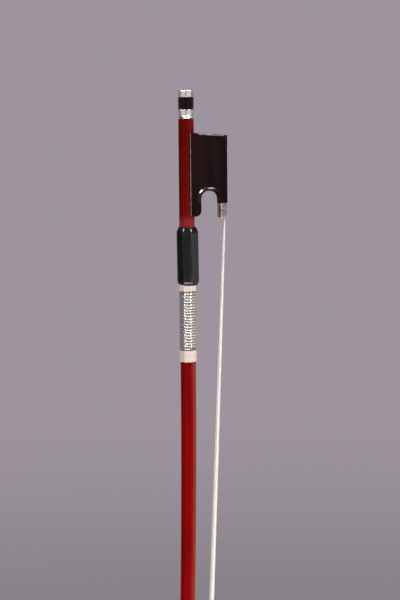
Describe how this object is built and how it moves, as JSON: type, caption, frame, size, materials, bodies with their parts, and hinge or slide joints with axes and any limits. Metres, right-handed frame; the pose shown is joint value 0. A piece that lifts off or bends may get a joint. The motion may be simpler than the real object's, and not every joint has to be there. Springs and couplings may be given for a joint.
{
  "type": "violin bow",
  "caption": "Octagonal wooden bow with a carved head, flat ribbon of hair, ebony frog drawn along the handle by a screw button, thumb leather and silver winding.",
  "frame": {"origin": "where the hand holds the stick: on the stick's axis, half way between the frog and the thumb leather", "axes": "+Z along the handle towards the button, +X from the stick towards the hair, +Y across the frog; the bow is symmetric about Y = 0 apart from the hand of its screw and windings"},
  "size_m": [0.0519, 0.0132, 0.745],
  "materials": {
    "varnished_wood": "red-brown varnish, glossy",
    "ebony": "polished ebony",
    "silver": "polished silver, lightly worn",
    "steel": "turned steel",
    "brass": "plain brass",
    "pearl": "mother-of-pearl",
    "bone": "polished bone",
    "cream_silk": "close silk whipping, cream",
    "grey_silk": "silk thread",
    "black_leather": "fine-scaled black leather",
    "horsehair": "bleached horsehair",
    "maple": "bare maple"
  },
  "bodies": {
    "stick": {"stick": "varnished_wood", "head_face_plate": "bone", "head_plate_liner": "ebony", "head_hair_knot": "horsehair", "head_plug": "maple", "hair": "horsehair", "thumb_leather": "black_leather", "rear_silk_band": "cream_silk", "front_silk_band": "cream_silk", "silver_winding": "silver", "silk_thread": "grey_silk"},
    "screw": {"adjuster_screw": "steel", "button_core": "ebony", "button_cap": "silver", "button_collar": "silver"},
    "frog": {"frog": "ebony", "heel_plate": "silver", "heel_back_pin_1": "silver", "heel_back_pin_2": "silver", "heel_sole_pin_1": "silver", "heel_sole_pin_2": "silver", "frog_lining": "silver", "lining_screw_1": "silver", "lining_screw_2": "silver", "eyelet": "brass", "ferrule": "silver", "pearl_slide": "pearl", "slide_backing": "ebony", "spread_wedge": "maple", "frog_plug": "maple", "frog_hair_knot": "horsehair"}
  },
  "joints": [
    {"name": "screw_turn", "type": "hinge", "parent": "stick", "child": "screw", "pos_m": [0, 0, 0.0579], "axis": [0, 0, -1], "range_deg": [-1441, 1801]},
    {"name": "frog_slide", "type": "slide", "parent": "stick", "child": "frog", "axis": [0, 0, 1], "range_m": [-0.0036, 0.0045], "deforming": ["hair"]}
  ],
  "couplings": [
    {"joint": "screw_turn", "follows": "frog_slide", "rad_per_m": 6981.3}
  ]
}
